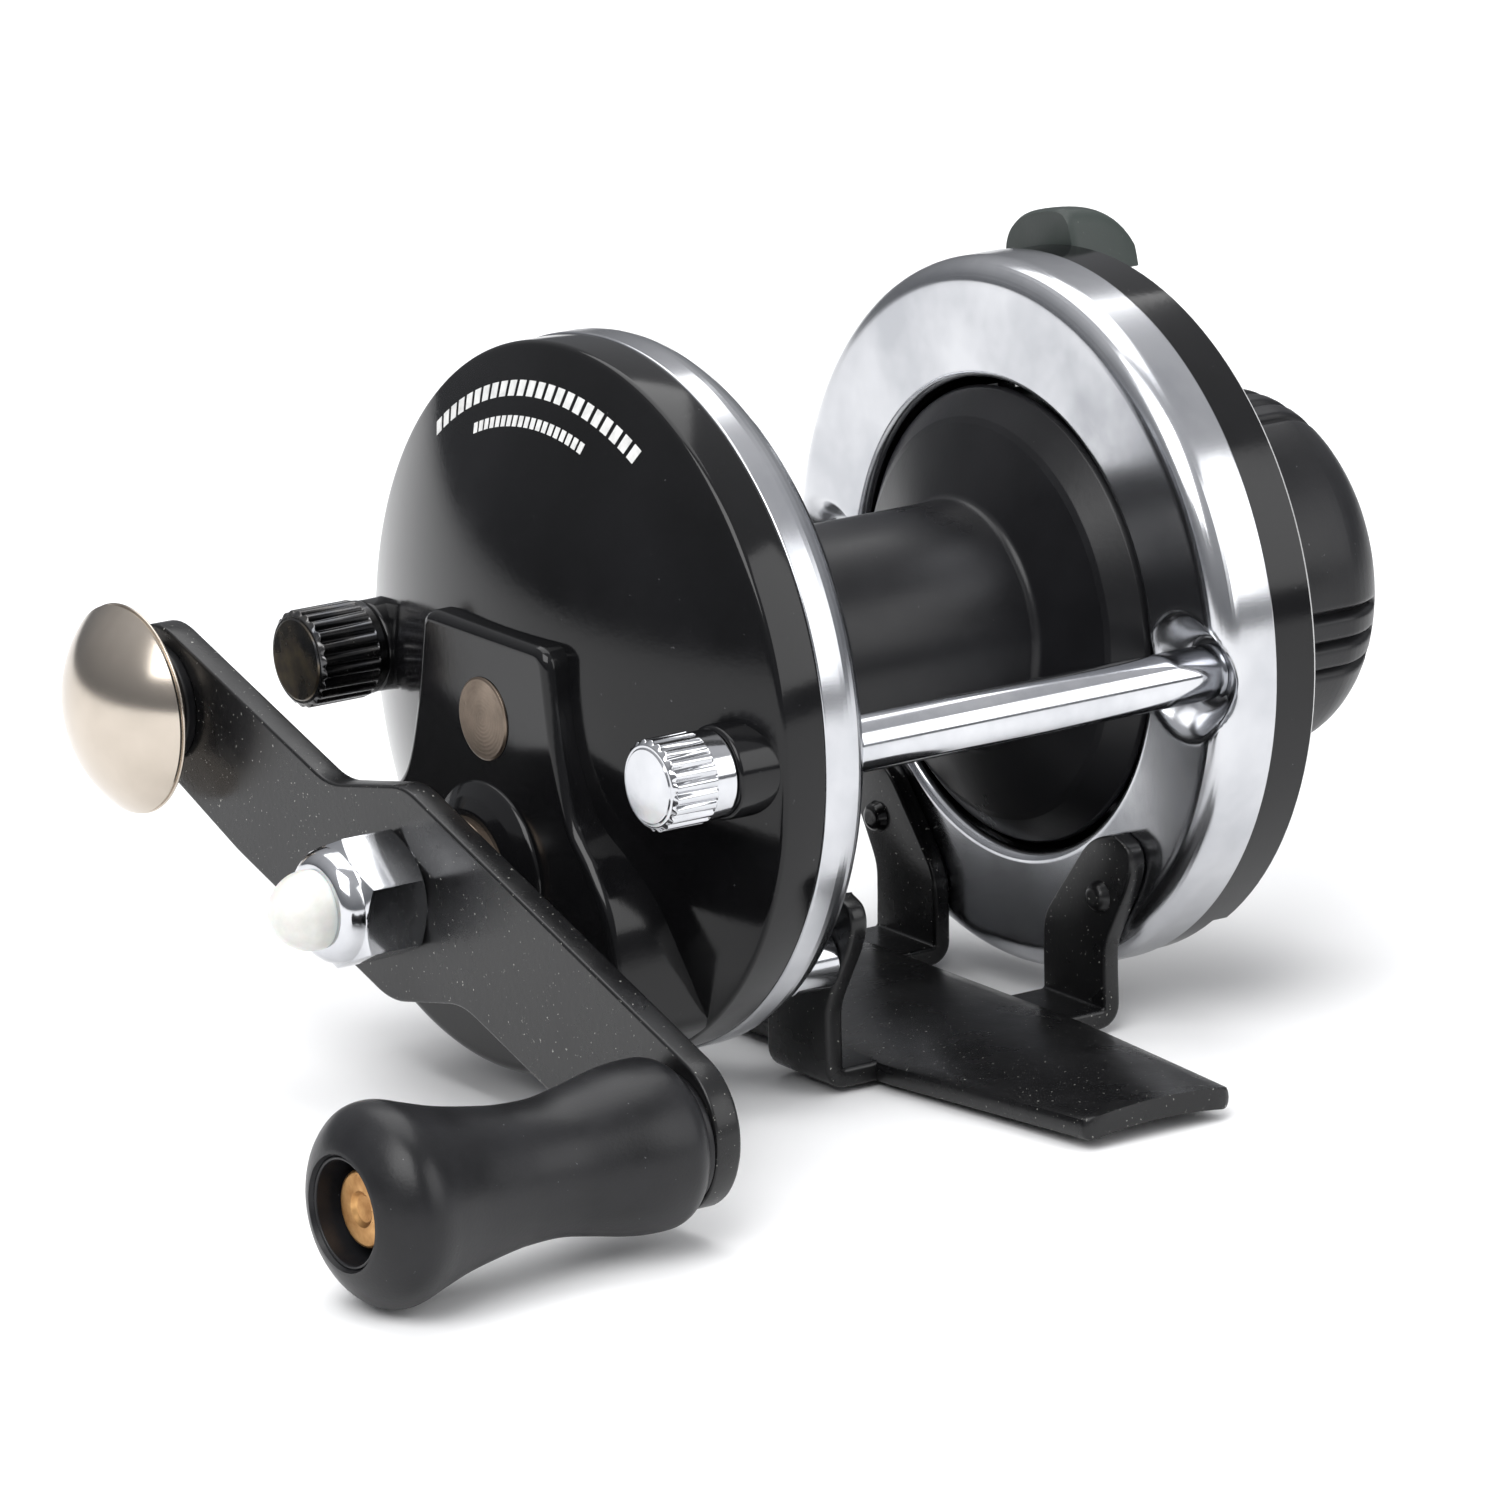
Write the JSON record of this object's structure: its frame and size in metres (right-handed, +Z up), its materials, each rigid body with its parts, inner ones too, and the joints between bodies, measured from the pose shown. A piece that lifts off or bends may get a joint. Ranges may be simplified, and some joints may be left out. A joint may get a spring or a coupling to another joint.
{
  "type": "fishing reel",
  "caption": "Small multiplier fishing reel with black side plates, polished rings, a geared crank with a counterweight and a stamped foot.",
  "frame": {"origin": "middle of the foot's underside, level with its long edges", "axes": "+X along the spool axis from the crank side to the tail side, +Y along the rod, +Z up from the foot through the spool axis"},
  "size_m": [0.1016, 0.0751, 0.0534],
  "materials": {
    "satin_black_plastic": "satin moulded",
    "gloss_black_plastic": "gloss moulded",
    "spool_plastic": "satin moulded",
    "lever_plastic": "semi-gloss, dark green-black",
    "ring_aluminium": "mirror polished",
    "pillar_chrome": "chrome plated",
    "nut_chrome": "chrome plated",
    "nut_black_nickel": "black nickel plate, worn on the end",
    "weight_nickel": "nickel plated, slightly pitted",
    "painted_steel": "satin black stove enamel",
    "bright_steel": "turned",
    "gear_brass": "machined",
    "bush_bronze": "turned bronze",
    "washer_fibre": "black fibre",
    "cap_nylon": "white nylon"
  },
  "bodies": {
    "frame": {"head_plate": "gloss_black_plastic", "head_ring": "ring_aluminium", "tail_ring": "ring_aluminium", "tail_plate": "gloss_black_plastic", "pillar_front": "pillar_chrome", "pillar_rear": "pillar_chrome", "tail_screws": "nut_chrome", "foot": "painted_steel", "foot_rivets": "painted_steel", "foot_spacers": "bright_steel", "head_bush": "bush_bronze", "crank_bush": "bush_bronze", "tail_bush": "bush_bronze", "gear_bridge": "bright_steel", "bridge_screws": "bright_steel"},
    "spool_set": {"spool": "spool_plastic", "spool_shaft": "bright_steel", "spool_collar": "bright_steel", "pinion": "gear_brass", "click_gear": "bright_steel"},
    "crank_set": {"crank_shaft": "bright_steel", "drive_gear": "gear_brass", "drag_washer": "washer_fibre", "gear_washer": "bright_steel", "crank_arm": "painted_steel", "crank_nut": "nut_chrome", "nut_cap": "cap_nylon", "counterweight": "weight_nickel", "counterweight_washer": "washer_fibre", "counterweight_rivet": "painted_steel", "knob_pin": "gear_brass", "knob_washer": "washer_fibre"},
    "handle": {"handle_knob": "satin_black_plastic"},
    "lever": {"click_lever": "lever_plastic", "click_tongue": "bright_steel"},
    "tension": {"tension_knob": "satin_black_plastic", "tension_plug": "gear_brass"},
    "nut_front": {"thumb_nut_front": "nut_chrome"},
    "nut_rear": {"thumb_nut_rear": "nut_black_nickel"}
  },
  "joints": [
    {"name": "crank_turn", "type": "hinge", "parent": "frame", "child": "crank_set", "pos_m": [-0.03, 0, 0.01585], "axis": [1, 0, 0], "continuous": true},
    {"name": "spool_spin", "type": "hinge", "parent": "frame", "child": "spool_set", "pos_m": [0, 0, 0.0266], "axis": [1, 0, 0], "continuous": true},
    {"name": "handle_spin", "type": "hinge", "parent": "crank_set", "child": "handle", "pos_m": [-0.051, -0.03267, 0.00676], "axis": [1, 0, 0], "continuous": true},
    {"name": "click_lever_swing", "type": "hinge", "parent": "frame", "child": "lever", "pos_m": [0.0216, 0, 0.0266], "axis": [1, 0, 0], "range_deg": [-14, 14]},
    {"name": "tension_turn", "type": "hinge", "parent": "frame", "child": "tension", "pos_m": [0.028, 0, 0.0266], "axis": [1, 0, 0], "range_deg": [-180, 180]},
    {"name": "nut_front_turn", "type": "hinge", "parent": "frame", "child": "nut_front", "pos_m": [-0.028, -0.0209, 0.0266], "axis": [1, 0, 0], "range_deg": [0, 360]},
    {"name": "nut_rear_turn", "type": "hinge", "parent": "frame", "child": "nut_rear", "pos_m": [-0.028, 0.0209, 0.0266], "axis": [1, 0, 0], "range_deg": [0, 360]}
  ],
  "couplings": [
    {"joint": "spool_spin", "follows": "crank_turn", "ratio": -2.5833}
  ]
}
